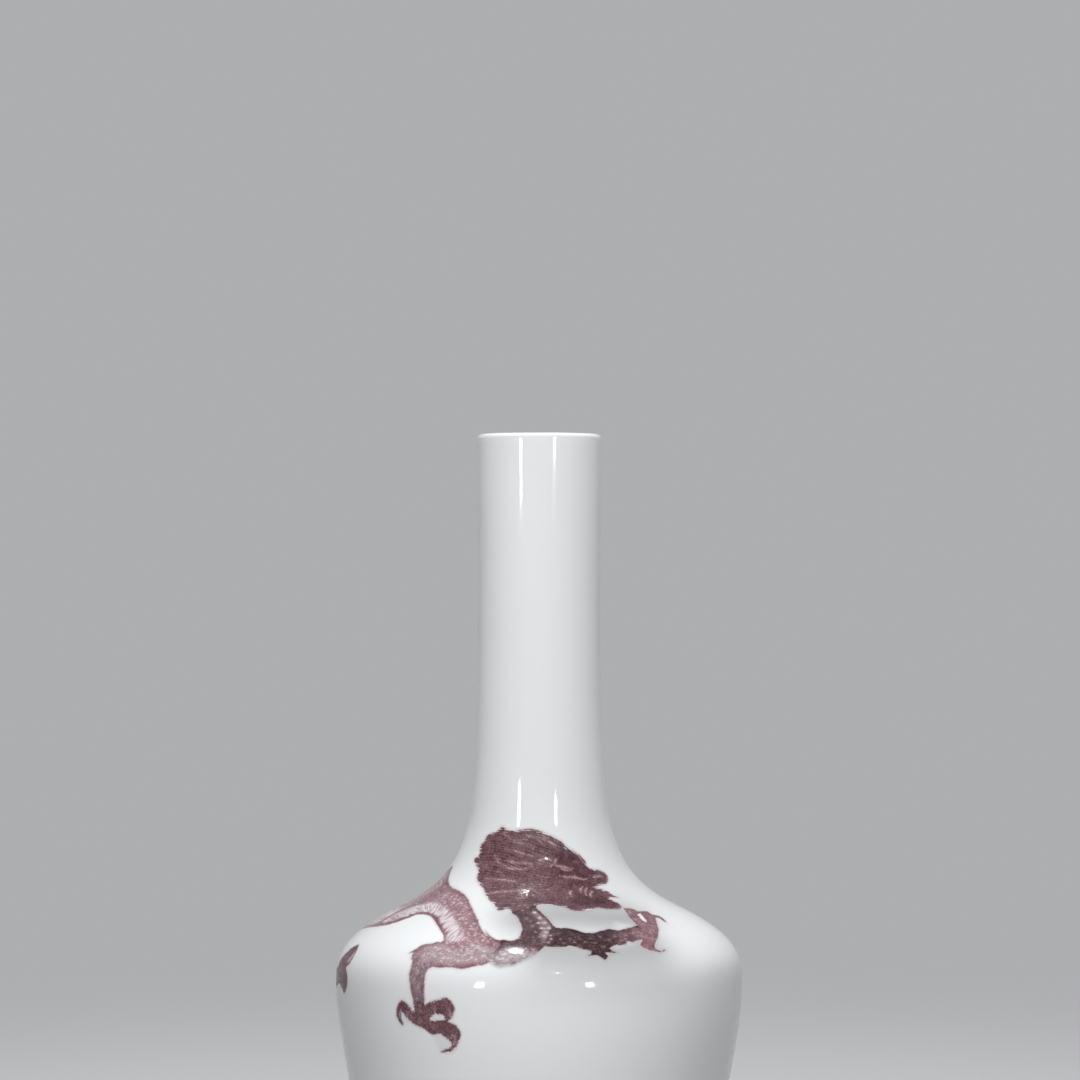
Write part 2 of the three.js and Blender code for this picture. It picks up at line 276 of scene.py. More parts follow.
class Graph:
    """The shader nodes of one material or world. Most of its methods return a socket."""

    def __init__(self, owner):
        self.owner = owner
        owner.use_nodes = True
        self.nodes = owner.node_tree.nodes
        self.links = owner.node_tree.links
        self.nodes.clear()

    def node(self, kind, inputs=None, **settings):
        node = self.nodes.new(kind)
        for key, value in settings.items():
            setattr(node, key, value)
        for key, value in (inputs or {}).items():
            if isinstance(value, bpy.types.NodeSocket):
                self.links.new(value, node.inputs[key])
            else:
                node.inputs[key].default_value = value
        return node

    def math(self, operation, *values):
        return self.node("ShaderNodeMath", dict(enumerate(values)), operation=operation).outputs[0]

    def chain(self, operation, values):
        result = values[0]
        for value in values[1:]:
            result = self.math(operation, result, value)
        return result

    def add(self, *values):
        return self.chain("ADD", values)

    def times(self, *values):
        return self.chain("MULTIPLY", values)

    def rise(self, value, low, high, bottom=0.0, top=1.0):
        """Smooth step of a value between two limits."""
        inputs = {"Value": value, "From Min": low, "From Max": high, "To Min": bottom, "To Max": top}
        node = self.node("ShaderNodeMapRange", inputs, interpolation_type="SMOOTHSTEP")
        return node.outputs["Result"]

    def parts(self, vector):
        return self.node("ShaderNodeSeparateXYZ", {"Vector": vector}).outputs

    def attribute(self, name):
        return self.parts(self.node("ShaderNodeAttribute", attribute_name=name).outputs["Vector"])

    def vector(self, x, y, z=0.0):
        return self.node("ShaderNodeCombineXYZ", {"X": x, "Y": y, "Z": z}).outputs["Vector"]

    def position(self):
        return self.node("ShaderNodeTexCoord").outputs["Object"]

    def noise(self, vector, scale, detail):
        inputs = {"Vector": vector, "Scale": scale, "Detail": detail}
        return self.node("ShaderNodeTexNoise", inputs).outputs["Fac"]

    def swing(self, vector, scale, detail):
        """Noise stretched to run from about -1 to 1."""
        return self.rise(self.noise(vector, scale, detail), 0.25, 0.75, -1.0, 1.0)

    def mix(self, share, first, second):
        """Mixes two colours, each a socket or a tuple."""
        inputs = {"Factor": share}
        for key, colour in ((6, first), (7, second)):
            inputs[key] = (*colour, 1.0) if isinstance(colour, tuple) else colour
        return self.node("ShaderNodeMix", inputs, data_type="RGBA").outputs[2]

    def surface(self, colour, roughness, height, bump_distance, refraction):
        bump = self.node("ShaderNodeBump", {"Height": height, "Distance": bump_distance})
        inputs = {"Base Color": colour, "Roughness": roughness, "Normal": bump.outputs["Normal"]}
        shader = self.node("ShaderNodeBsdfPrincipled", {**inputs, "IOR": refraction})
        self.node("ShaderNodeOutputMaterial", {"Surface": shader.outputs["BSDF"]})
        return self.owner


# Outer glaze, row by row: outside from the foot up, lip, mouth, and back down inside the coat
COAT_TOP = VASE_HEIGHT - GLAZE_COAT
LOWER_ROWS = between(OUTSIDE, GLAZE_LINE_HEIGHT, BAND_LOW)
BAND_ROWS = between(OUTSIDE, BAND_LOW, BAND_HIGH, BAND_STEP)
NECK_ROWS = between(OUTSIDE, BAND_HIGH, RIM_HEIGHT, NECK_STEP)
LIP_ROWS = evenly(lip_arc(0, 180), LIP_STEP)
MOUTH_ROWS = between(HOLLOW, MOUTH_SEAM_HEIGHT, RIM_HEIGHT)[::-1]
HIDDEN_MOUTH_ROWS = between(hollow_at(GLAZE_COAT), MOUTH_SEAM_HEIGHT, COAT_TOP)
HIDDEN_OUTSIDE_ROWS = between(outside_at(GLAZE_COAT), GLAZE_LINE_HEIGHT, COAT_TOP, HIDDEN_STEP)[::-1]

# The painted grid: one angle a column, and one rise and radius a row, in mm
COLUMN_ANGLES = FIRST_ANGLE + np.arange(GLAZE_COLUMNS) * 2 * math.pi / GLAZE_COLUMNS
OUTSIDE_RISES = lengths_along(OUTSIDE) / MM
BAND_RISES = np.interp(BAND_ROWS[:, 1], OUTSIDE[:, 1], OUTSIDE_RISES)
BAND_RADII = BAND_ROWS[:, 0] / MM

# Enlarged parts of the photograph that the painting was drawn over: left and top pixel, enlargement
HEAD_VIEW = (440, 810, 6.533)
LEG_VIEW = (325, 860, 7.467)
HAND_VIEW = (540, 860, 9.8)
NECK_VIEW = (500, 885, 8.711)
FOOT_VIEW = (385, 940, 13.067)
SIGHT_POINTS = 2400


def seen(view, points):
    """Angle and rise of the places on the vase that the camera sees at points of an enlarged view."""
    left, top, enlargement = view
    pixels = np.array(points, float) / enlargement + (left, top)
    across = (pixels[:, :1] - PICTURE_MIDDLE) / FOCAL_PIXELS
    down = (pixels[:, 1:] - PICTURE_MIDDLE) / FOCAL_PIXELS
    reach = np.linspace(-CAMERA_PLACE[1] - 1.1 * BELLY_RADIUS, -CAMERA_PLACE[1], SIGHT_POINTS)
    x = CAMERA_PLACE[0] + across * reach
    y = CAMERA_PLACE[1] + reach
    z = CAMERA_PLACE[2] - down * reach
    gap = np.hypot(x, y) - np.interp(z, OUTSIDE[:, 1], OUTSIDE[:, 0])
    hit = np.where((gap < 0).any(1), (gap < 0).argmax(1), gap.argmin(1))
    pick = np.arange(len(pixels))
    angle = np.arctan2(x[pick, hit], -y[hit])
    return np.stack([angle, np.interp(z[pick, hit], OUTSIDE[:, 1], OUTSIDE_RISES)], 1)


def placed(points):
    """Angle and rise of places given as degrees from the front and a height in mm."""
    points = np.array(points, float)
    rises = np.interp(points[:, 1], OUTSIDE[:, 1] / MM, OUTSIDE_RISES)
    return np.stack([np.radians(points[:, 0]), rises], 1)


def smooth(points, closed=False, steps=4):
    """Catmull-Rom curve through points."""
    if closed:
        ring = np.concatenate([points[-1:], points, points[:2]])
    else:
        ring = np.concatenate([2 * points[:1] - points[1:2], points, 2 * points[-1:] - points[-2:-1]])
    p0, p1, p2, p3 = ring[:-3], ring[1:-2], ring[2:-1], ring[3:]
    t = (np.arange(steps) / steps)[:, None, None]
    curve = 2 * p1 + (p2 - p0) * t + (2 * p0 - 5 * p1 + 4 * p2 - p3) * t**2
    curve = (curve + (3 * p1 - p0 - 3 * p2 + p3) * t**3) / 2
    curve = curve.transpose(1, 0, 2).reshape(-1, 2)
    return curve if closed else np.concatenate([curve, points[-1:]])


def lengths_on_vase(line):
    """Length in mm from the start of a line to each of its points."""
    radii = np.interp(line[:, 1], BAND_RISES, BAND_RADII)
    steps = np.hypot(np.diff(line[:, 0]) * (radii[1:] + radii[:-1]) / 2, np.diff(line[:, 1]))
    return np.concatenate([[0], np.cumsum(steps)])


class Window:
    """The part of the painted grid near some places."""

    def __init__(self, places, reach):
        low, high = places.min(0), places.max(0)
        rows = np.flatnonzero((BAND_RISES > low[1] - reach) & (BAND_RISES < high[1] + reach))
        self.middle = (low[0] + high[0]) / 2
        self.rise = BAND_RISES[rows][:, None]
        self.radius = BAND_RADII[rows][:, None]
        turn = (COLUMN_ANGLES - self.middle + math.pi) % (2 * math.pi) - math.pi
        columns = np.flatnonzero(abs(turn) < (high[0] - low[0]) / 2 + reach / self.radius.min())
        self.turn = turn[columns][None]
        self.grid = np.ix_(rows, columns)
        self.shape = (len(rows), len(columns))

    def towards(self, place):
        """How far a place lies to the right of and above each vertex, in mm."""
        return (place[0] - self.middle - self.turn) * self.radius, place[1] - self.rise

    def follow(self, line):
        """From each vertex, the distance to a line, the length of line up to there, and the side."""
        nearest = np.full(self.shape, np.inf)
        along = np.zeros(self.shape)
        side = np.ones(self.shape)
        lengths = lengths_on_vase(line)
        start_x, start_y = self.towards(line[0])
        for k, place in enumerate(line[1:]):
            end_x, end_y = self.towards(place)
            run_x, run_y = end_x - start_x, end_y - start_y
            share = np.clip(-(start_x * run_x + start_y * run_y) / (run_x**2 + run_y**2 + 1e-9), 0, 1)
            gap = np.hypot(start_x + share * run_x, start_y + share * run_y)
            closer = gap < nearest
            nearest = np.where(closer, gap, nearest)
            along = np.where(closer, lengths[k] + share * (lengths[k + 1] - lengths[k]), along)
            side = np.where(closer, np.sign(start_x * run_y - start_y * run_x), side)
            start_x, start_y = end_x, end_y
        return nearest, along, side

    def depth(self, outline):
        """How deep each vertex lies inside a closed outline in mm, negative outside."""
        within = np.zeros(self.shape, bool)
        for (turn_a, rise_a), (turn_b, rise_b) in zip(outline, np.roll(outline, -1, axis=0)):
            spans = (rise_a > self.rise) != (rise_b > self.rise)
            if spans.any():
                crossing = turn_a + (self.rise - rise_a) / (rise_b - rise_a) * (turn_b - turn_a)
                within ^= spans & (self.turn < crossing - self.middle)
        gap = self.follow(np.concatenate([outline, outline[:1]]))[0]
        return np.where(within, gap, -gap)


def step(value, low, high):
    share = np.clip((value - low) / (high - low), 0, 1)
    return share * share * (3 - 2 * share)


# What the brush leaves at each vertex of the band, three layers to an attribute. "edge" is the
# depth inside the painted outline in mm, "across" and "along" the run of the brush in mm, and the
# rest are shares. "fray" lets bristles carry the outline out or in. The grey layer greys the paint,
# and outside the outline it darkens the bare glaze as painted shade
BRUSH_LAYERS = {
    "brush_body": ("edge", "density", "grey"),
    "brush_pattern": ("hair", "stroke", "scale"),
    "brush_run": ("across", "along", "fray"),
    "brush_touches": ("pale", "dark", "rim"),
}
LAYERS = [layer for layers in BRUSH_LAYERS.values() for layer in layers]
paint = {layer: np.zeros((len(BAND_ROWS), GLAZE_COLUMNS)) for layer in LAYERS}
BLANK = -4.0
paint["edge"][:] = BLANK
EDGE_REACH = 3.5
OUTER_BLEND = -0.2


def lay(outline, run, blend=0.5, inner=False, **shares):
    """Paints inside an outline. The brush runs along one line, or between several from top to bottom.
    The shares come in over the blend's depth in mm, and an inner outline leaves the edge as it is."""
    outline = smooth(outline, closed=True)
    window = Window(outline, EDGE_REACH)
    depth = window.depth(outline)
    across, along = run_between(window, run) if isinstance(run, list) else run_along(window, run)
    over = step(depth, OUTER_BLEND, blend)
    grid = window.grid
    if not inner:
        paint["edge"][grid] = np.maximum(paint["edge"][grid], depth)
    for layer, value in shares.items():
        paint[layer][grid] += over * (value - paint[layer][grid])
    owned = over > (0.5 if inner else 0.0)
    paint["across"][grid] = np.where(owned, across, paint["across"][grid])
    paint["along"][grid] = np.where(owned, along, paint["along"][grid])


def run_along(window, line):
    nearest, along, side = window.follow(smooth(line))
    return nearest * side, along


HAIR_LINE_GAP = 2.4


def picked(stack, which):
    return np.take_along_axis(stack, which[None], 0)[0]


def run_between(window, lines):
    """The brush's run between guide lines, which are one gap apart in the pattern whatever their
    distance on the vase."""
    followed = []
    for line in lines:
        longer = np.concatenate([4 * line[:1] - 3 * line[1:2], line, 3 * line[-1:] - 2 * line[-2:-1]])
        followed.append(window.follow(smooth(longer)))
    gaps, alongs, sides = (np.stack(each) for each in zip(*followed))
    above = sides < 0
    last = len(lines) - 1
    lower = np.where(above.any(0), above.argmax(0), last + 1)
    first = np.clip(lower - 1, 0, last)
    second = np.clip(lower, 0, last)
    gap_a = picked(gaps, first)
    gap_b = picked(gaps, second)
    share = gap_a / (gap_a + gap_b + 1e-6)
    across = (first + share) * HAIR_LINE_GAP
    across = np.where(lower == 0, -gap_b, np.where(lower > last, last * HAIR_LINE_GAP + gap_a, across))
    along_a = picked(alongs, first)
    return across, along_a + share * (picked(alongs, second) - along_a)


END_WIDTH_SHARE = 0.35


def draw(layer, line, width, strength=1.0, tapered=True):
    """A soft stroke in one layer. A tapered one swells in its middle and runs out thin at its ends."""
    line = smooth(line)
    window = Window(line, 3 * width)
    nearest, along, _ = window.follow(line)
    if tapered:
        share = along / lengths_on_vase(line)[-1]
        middle = np.sqrt(np.clip(4 * share * (1 - share), 0, 1))
        width = width * (END_WIDTH_SHARE + (1 - END_WIDTH_SHARE) * middle)
    mark = strength * np.exp(-((nearest / width) ** 2))
    paint[layer][window.grid] = np.maximum(paint[layer][window.grid], mark)


def dab(place, radius, change):
    """Makes the paint richer or thinner round a place. The radius is in mm, the change a share."""
    window = Window(place[None], 2.5 * radius)
    across, up = window.towards(place)
    mark = np.exp(-(across**2 + up**2) / radius**2)
    paint["density"][window.grid] *= 1 + change * mark


def band(line, half_widths):
    """Outline of a tapering band from its middle line and the half width in mm at each point."""
    radii = np.interp(line[:, 1], BAND_RISES, BAND_RADII)
    run = np.gradient(line, axis=0) * np.stack([radii, np.ones_like(radii)], 1)
    run /= np.hypot(*run.T)[:, None]
    square = np.stack([-run[:, 1] / radii, run[:, 0]], 1) * np.array(half_widths)[:, None]
    return np.concatenate([line + square, (line - square)[::-1]])


# Mane and head: outline, and the hairs from their roots at the face to their tips
MANE_OUTLINE = seen(HEAD_VIEW, [
    (372, 138), (408, 106), (448, 130), (520, 127), (600, 122), (660, 138), (720, 163), (780, 195),
    (830, 235), (880, 270), (920, 300), (950, 330), (965, 370), (1000, 383), (1050, 393), (1085, 416),
    (1102, 445), (1092, 478), (1060, 492), (1012, 502), (1050, 512), (1100, 533), (1130, 555), (1168, 572),
    (1110, 572), (1140, 598), (1172, 610), (1192, 645), (1140, 652), (1080, 650), (1000, 650), (930, 662),
    (860, 656), (800, 634), (700, 618), (620, 626), (560, 640), (480, 662), (440, 645), (383, 660),
    (352, 615), (305, 575), (285, 520), (255, 480), (240, 440), (250, 395), (222, 326), (255, 290),
    (262, 235), (290, 200), (300, 175), (335, 150),
])
HAIR_LINES = [seen(HEAD_VIEW, line) for line in (
    [(965, 370), (880, 275), (780, 200), (660, 145), (520, 135), (410, 125)],
    [(900, 350), (800, 280), (700, 230), (600, 190), (480, 180), (330, 165)],
    [(860, 380), (740, 320), (620, 280), (480, 240), (380, 225), (270, 215)],
    [(820, 400), (700, 380), (600, 340), (480, 300), (360, 280), (245, 270)],
    [(800, 430), (680, 420), (560, 400), (440, 370), (340, 345), (225, 325)],
    [(800, 470), (680, 470), (560, 450), (440, 420), (340, 400), (250, 395)],
    [(820, 510), (700, 515), (580, 500), (460, 470), (350, 450), (245, 445)],
    [(850, 550), (720, 560), (600, 545), (480, 515), (380, 490), (270, 490)],
    [(900, 590), (760, 590), (640, 580), (520, 560), (420, 540), (300, 520)],
    [(960, 620), (800, 615), (660, 605), (540, 600), (440, 600), (330, 590)],
    [(1000, 650), (860, 645), (720, 615), (620, 618), (520, 640), (385, 655)],
)]
FACE_OUTLINE = seen(HEAD_VIEW, [
    (720, 280), (800, 250), (880, 280), (930, 320), (960, 375), (1040, 400), (1085, 440), (1050, 480),
    (1000, 505), (1090, 560), (1120, 610), (1000, 630), (900, 610), (850, 540), (780, 480), (720, 400),
])
FACE_LINE = seen(HEAD_VIEW, [(720, 330), (800, 370), (880, 420), (960, 450), (1040, 450), (1100, 470)])

# Neck, chest and the body as far as it shows, and the line that it runs along
NECK_OUTLINE = seen(HEAD_VIEW, [
    (490, 590), (610, 600), (640, 645), (700, 700), (738, 750), (765, 775), (760, 830), (720, 865),
    (690, 892), (640, 930), (600, 950), (560, 970), (500, 1000), (440, 1010), (370, 1015), (330, 960),
    (380, 900), (400, 850), (440, 852), (482, 850), (513, 830), (531, 790), (531, 765), (523, 737),
    (498, 695), (467, 668),
])
NECK_LINE = seen(HEAD_VIEW, [
    (540, 560), (590, 650), (630, 740), (630, 820), (570, 890), (470, 930), (350, 930),
])
CHEST_OUTLINE = seen(HEAD_VIEW, [
    (600, 640), (650, 670), (700, 715), (738, 765), (745, 820), (710, 868), (660, 875), (640, 820),
    (655, 760), (620, 710), (590, 680),
])
THROAT_OUTLINE = seen(HEAD_VIEW, [
    (285, 960), (330, 900), (420, 900), (500, 925), (570, 915), (650, 905), (650, 960), (560, 1000),
    (480, 1030), (360, 1040),
])
FORE_BODY_OUTLINE = np.concatenate([
    seen(HEAD_VIEW, [(500, 900), (440, 850), (380, 848), (330, 820), (290, 780)]),
    seen(LEG_VIEW, [
        (1210, 562), (1170, 510), (1140, 430), (1100, 350), (1060, 270), (1000, 225), (938, 190),
        (926, 120),
    ]),
    placed([(-78, 108.5), (-88, 107), (-96, 104)]),
    placed([(-96, 89.5)]),
    seen(LEG_VIEW, [
        (345, 500), (440, 490), (520, 470), (620, 435), (690, 408), (760, 410), (810, 440), (840, 490),
        (880, 550), (885, 592), (860, 612), (800, 622), (720, 637), (640, 740), (775, 792), (850, 806),
        (950, 806), (1020, 816), (1100, 800), (1180, 786), (1240, 766),
    ]),
    seen(HEAD_VIEW, [(370, 1015), (440, 1010), (500, 1000)]),
])
FORE_BODY_LINE = np.concatenate([
    seen(LEG_VIEW, [
        (1400, 690), (1300, 680), (1200, 665), (1100, 600), (1020, 500), (960, 390), (880, 310), (760, 330),
        (620, 375),
    ]),
    placed([(-80, 99), (-90, 98.5), (-100, 97.5), (-112, 95.5)]),
])
BELLY_OUTLINE = seen(LEG_VIEW, [
    (400, 480), (520, 455), (620, 425), (690, 402), (765, 405), (815, 435), (846, 490), (884, 560),
    (880, 612), (960, 622), (1040, 612), (1060, 560), (1010, 470), (960, 390), (890, 325), (800, 305),
    (700, 330), (600, 365), (480, 425),
])
UPPER_ARM_OUTLINE = seen(LEG_VIEW, [
    (885, 605), (1000, 640), (1120, 600), (1230, 620), (1307, 660), (1307, 735), (1240, 766), (1180, 785),
    (1100, 800), (1020, 815), (950, 805), (850, 805), (775, 790), (700, 780), (690, 700), (740, 650),
    (800, 622),
])
UPPER_ARM_LINE = seen(LEG_VIEW, [(1307, 700), (1150, 700), (1000, 720), (860, 710), (740, 700), (690, 800)])

# Lowered foreleg with its spread foot
LOWERED_LEG_OUTLINE = seen(LEG_VIEW, [
    (860, 613), (800, 622), (740, 628), (690, 655), (622, 697), (690, 690), (660, 725), (648, 765),
    (628, 860), (638, 960), (658, 1060), (662, 1130), (610, 1072), (572, 1048), (545, 1085), (533, 1150),
    (545, 1195), (583, 1234), (571, 1180), (577, 1135), (600, 1172), (640, 1207), (680, 1235), (740, 1262),
    (800, 1302), (860, 1302), (920, 1342), (943, 1372), (925, 1408), (868, 1437), (935, 1425), (978, 1398),
    (1002, 1345), (1010, 1290), (985, 1240), (940, 1215), (925, 1200), (955, 1170), (965, 1125),
    (957, 1080), (935, 1045), (900, 1025), (865, 1040), (800, 1055), (748, 1080), (745, 1045), (745, 900),
    (765, 830), (800, 800), (860, 760),
])
LOWERED_LEG_LINE = seen(LEG_VIEW, [
    (860, 690), (740, 710), (700, 800), (690, 920), (700, 1060), (730, 1160), (820, 1230), (920, 1280),
])
FOOT_OUTLINE = seen(LEG_VIEW, [
    (560, 1040), (640, 1060), (700, 1040), (780, 1040), (900, 1010), (990, 1100), (960, 1190), (1040, 1290),
    (980, 1440), (860, 1450), (780, 1310), (640, 1230), (560, 1250), (515, 1130),
])
FOOT_GAP_OUTLINE = seen(LEG_VIEW, [
    (790, 1188), (820, 1150), (860, 1148), (888, 1165), (890, 1190), (850, 1200),
])

# Raised foreleg, its tuft of hair and its open hand
RAISED_LEG_OUTLINE = seen(HEAD_VIEW, [
    (725, 765), (765, 768), (830, 768), (880, 780), (950, 800), (1010, 800), (1060, 786), (1110, 775),
    (1150, 786), (1200, 780), (1300, 755), (1310, 845), (1240, 860), (1200, 882), (1150, 884), (1112, 905),
    (1168, 936), (1085, 932), (1100, 955), (1075, 982), (1040, 956), (1010, 950), (962, 957), (985, 925),
    (910, 906), (860, 890), (800, 896), (690, 890), (700, 830),
])
RAISED_LEG_LINE = seen(HEAD_VIEW, [
    (690, 820), (800, 830), (950, 855), (1080, 840), (1200, 825), (1320, 800),
])
HAND_OUTLINE = seen(HAND_VIEW, [
    (793, 453), (820, 466), (870, 470), (920, 480), (960, 500), (1010, 500), (1060, 505), (1100, 532),
    (1160, 545), (1210, 573), (1243, 612), (1212, 600), (1170, 573), (1142, 572), (1150, 620), (1170, 690),
    (1160, 760), (1130, 840), (1142, 868), (1190, 884), (1222, 868), (1237, 884), (1195, 910), (1120, 900),
    (1050, 880), (992, 852), (975, 820), (1000, 785), (960, 790), (880, 800), (850, 670), (900, 663),
    (960, 660), (930, 620), (890, 580), (850, 530), (822, 482),
])
WRIST_OUTLINE = seen(HAND_VIEW, [(690, 590), (960, 640), (1010, 700), (960, 840), (690, 870)])
HAND_LINE = seen(HAND_VIEW, [(850, 740), (960, 730), (1060, 690), (1080, 600), (1180, 560)])
HAND_GAP_OUTLINE = seen(HAND_VIEW, [
    (960, 530), (985, 526), (1012, 550), (1038, 580), (1046, 606), (1015, 600), (985, 568),
])

# Lines above and below the raised foreleg, round which the bare glaze is painted darker: painted shade
# under the jaw and on the shoulder below the foreleg
HIGH_PAINTED_SHADE_LINE = seen(HEAD_VIEW, [(580, 706), (740, 684), (915, 692), (1225, 710)])
LOW_PAINTED_SHADE_LINE = seen(HEAD_VIEW, [(732, 902), (1045, 915), (1307, 888)])

# Foot of the side hind leg, as far as it shows at the left, and the leg round the side
SIDE_FOOT_OUTLINE = np.concatenate([
    seen(LEG_VIEW, [
        (250, 630), (243, 666), (222, 704), (200, 745), (178, 780), (158, 803), (164, 847), (168, 902),
        (161, 960), (142, 996), (128, 960), (105, 925),
    ]),
    placed([
        (-86, 71.2), (-95, 72.7), (-106, 76.5), (-116, 83.5), (-112, 91), (-106, 93), (-101, 89),
        (-98, 83.5), (-93, 80.5), (-89.5, 79.3),
    ]),
    seen(LEG_VIEW, [(96, 800), (110, 755), (140, 712), (175, 676), (214, 643)]),
])
THIGH_OUTLINE = placed([
    (-97, 84), (-99, 92), (-106, 98), (-116, 98), (-122, 90), (-120, 80), (-110, 76), (-101, 78),
])
SIDE_LEG_LINE = placed([(-74, 74), (-82, 77), (-92, 80), (-102, 85), (-110, 92)])

# Round the back: rear body, tail with its tuft, and the other hind leg
REAR_BODY_LINE = placed([
    (-84, 97.8), (-96, 97.2), (-108, 95.5), (-122, 92.5), (-136, 90.5), (-150, 90), (-164, 91), (-178, 94),
    (-192, 97.5), (-206, 99), (-218, 97.5), (-229, 94), (-239, 91), (-248, 90.5),
])
REAR_BODY_HALF_WIDTHS = [14.5, 14.5, 12.6, 10.3, 9, 8, 7.2, 6.3, 5.4, 4.6, 3.8, 3.1, 2.4, 1.6]
REAR_BELLY_LINE = placed([
    (-78, 93.6), (-88, 93.1), (-100, 92.5), (-112, 91.4), (-124, 90), (-136, 88.6), (-150, 88), (-164, 89),
    (-178, 92), (-192, 95.5),
])
REAR_BELLY_HALF_WIDTHS = [5, 6, 6, 5.8, 5.2, 4.8, 4.4, 4, 3.4, 2]
TAIL_TUFT_OUTLINE = placed([
    (-244, 91.5), (-250, 93.5), (-257, 96), (-253, 92.5), (-262, 92.5), (-255, 90.5), (-263, 88),
    (-254, 88.5), (-258, 84.5), (-250, 87.5), (-244, 89.5),
])
TAIL_TUFT_LINE = placed([(-242, 90.5), (-250, 90.5), (-262, 90.5)])
BACK_LEG_OUTLINE = placed([
    (-152, 90), (-156, 82), (-157, 78), (-155, 74.5), (-151, 71.5), (-147.5, 70), (-151.5, 69.5),
    (-155, 69.5), (-154, 66), (-151, 63.5), (-155, 64.5), (-158, 66), (-160.5, 63), (-160.5, 59.5),
    (-163, 62.5), (-163.5, 66), (-168, 65.5), (-172, 63.5), (-170, 67), (-166.5, 69.5), (-164.5, 73),
    (-166, 77), (-171, 84), (-172, 92),
])
BACK_LEG_LINE = placed([(-163, 90), (-162, 82), (-160.5, 75), (-159, 68), (-160.5, 60)])
ELBOW_TUFT_OUTLINE = placed([
    (-168, 82), (-173, 80.5), (-179, 80.5), (-174.5, 78.5), (-178, 75.5), (-171.5, 77), (-172, 73),
    (-167.5, 76.5),
])


# Where the brush left less or more paint: radius in mm, change of its density, view and places
PAINT_DABS = (
    # On the chest, the neck and the throat
    (0.72, -0.85, NECK_VIEW, [
        (300, 240), (345, 285), (390, 330), (430, 375), (400, 410), (440, 440), (445, 470), (420, 500),
        (385, 440), (330, 330), (360, 375),
    ]),
    (0.5, -0.6, NECK_VIEW, [
        (120, 165), (170, 180), (215, 175), (200, 220), (240, 195), (230, 290), (280, 355), (265, 320),
        (310, 410), (340, 450),
    ]),
    (0.8, -0.75, NECK_VIEW, [
        (60, 650), (100, 620), (150, 620), (200, 600), (235, 575), (290, 560), (50, 600), (20, 640),
    ]),
    (0.5, 0.8, NECK_VIEW, [(110, 590), (240, 630), (300, 600), (130, 675), (170, 560)]),
    # Where the lowered foreleg joins the throat, and along the raised foreleg
    (1.6, 0.6, NECK_VIEW, [(-87, 523), (0, 470), (-30, 566)]),
    (0.5, -0.5, NECK_VIEW, [
        (525, 470), (505, 420), (560, 505), (610, 465), (650, 500), (690, 530), (700, 470), (740, 495),
        (790, 465), (830, 500), (870, 450), (900, 540), (950, 480), (1000, 450), (1060, 485), (1100, 440),
        (1160, 415),
    ]),
    # On the foot, under the flank and along the jaw
    (0.6, -0.35, FOOT_VIEW, [(430, 620), (430, 430), (450, 850), (470, 930)]),
    (2.8, 0.35, LEG_VIEW, [
        (375, 478), (450, 448), (548, 398), (640, 345), (730, 300), (810, 255), (880, 205), (925, 150),
    ]),
    (2.6, 0.3, HEAD_VIEW, [
        (480, 600), (600, 590), (720, 590), (840, 610), (960, 610), (1060, 600), (1130, 625),
    ]),
)

# Fine strokes over the painting: layer, width in mm, strength, view and lines
FINE_STROKES = (
    # Brow, eye, cheek, teeth and muzzle
    ("pale", 0.6, 0.6, HEAD_VIEW, (
        [(780, 432), (820, 438), (880, 440), (930, 452), (965, 448)],
        [(722, 372), (745, 345), (765, 318)],
        [(735, 345), (760, 362), (800, 372), (845, 378)],
        [(790, 385), (830, 392), (870, 380)],
        [(640, 330), (690, 318), (730, 330)],
        [(925, 545), (918, 520), (935, 498)],
        [(955, 560), (948, 530), (962, 505)],
        [(985, 570), (985, 545), (1000, 530)],
        [(855, 560), (850, 540), (862, 525)],
        [(1000, 440), (1040, 430), (1070, 440)],
    )),
    # Ear and parted hair of the mane
    ("pale", 0.55, 0.45, HEAD_VIEW, (
        [(355, 285), (372, 325), (415, 362), (480, 382), (540, 386), (580, 375), (600, 355), (585, 342)],
        [(410, 150), (470, 190), (540, 225), (610, 245)],
        [(640, 170), (700, 195), (760, 240)],
        [(560, 160), (620, 180), (665, 215)],
        [(300, 445), (400, 455), (500, 470)],
        [(310, 545), (400, 535), (520, 525)],
        [(420, 255), (520, 275), (600, 300)],
        [(430, 330), (520, 345), (600, 350)],
    )),
    # Nails and claws
    ("pale", 0.3, 0.45, FOOT_VIEW, (
        [(205, 920), (185, 970), (205, 1020)],
        [(840, 900), (855, 950), (835, 1000)],
        [(880, 1230), (878, 1260), (870, 1290)],
        [(920, 1230), (920, 1265), (915, 1300)],
    )),
    ("pale", 0.35, 0.5, LEG_VIEW, (
        [(922, 1105), (940, 1140), (940, 1175)],
        [(570, 1110), (560, 1145), (566, 1185)],
        [(955, 1300), (975, 1340), (960, 1385)],
    )),
    ("pale", 0.5, 0.85, LEG_VIEW, (
        [(236, 668), (205, 715), (160, 765)],
        [(216, 690), (196, 730), (170, 770)],
    )),
    # Edge between flank and belly, top of the raised foreleg, and sides of the shin
    ("dark", 1.3, 0.28, LEG_VIEW, (
        [
            (290, 526), (381, 487), (474, 470), (588, 432), (680, 402), (765, 402), (822, 432), (862, 500),
            (888, 575),
        ],
    )),
    ("dark", 0.5, 0.3, NECK_VIEW, (
        [(490, 380), (620, 400), (740, 425), (880, 400), (1000, 395), (1090, 390)],
    )),
    ("dark", 0.4, 0.25, FOOT_VIEW, (
        [(335, 600), (350, 700), (370, 800)],
        [(520, 560), (522, 660), (520, 760)],
    )),
)


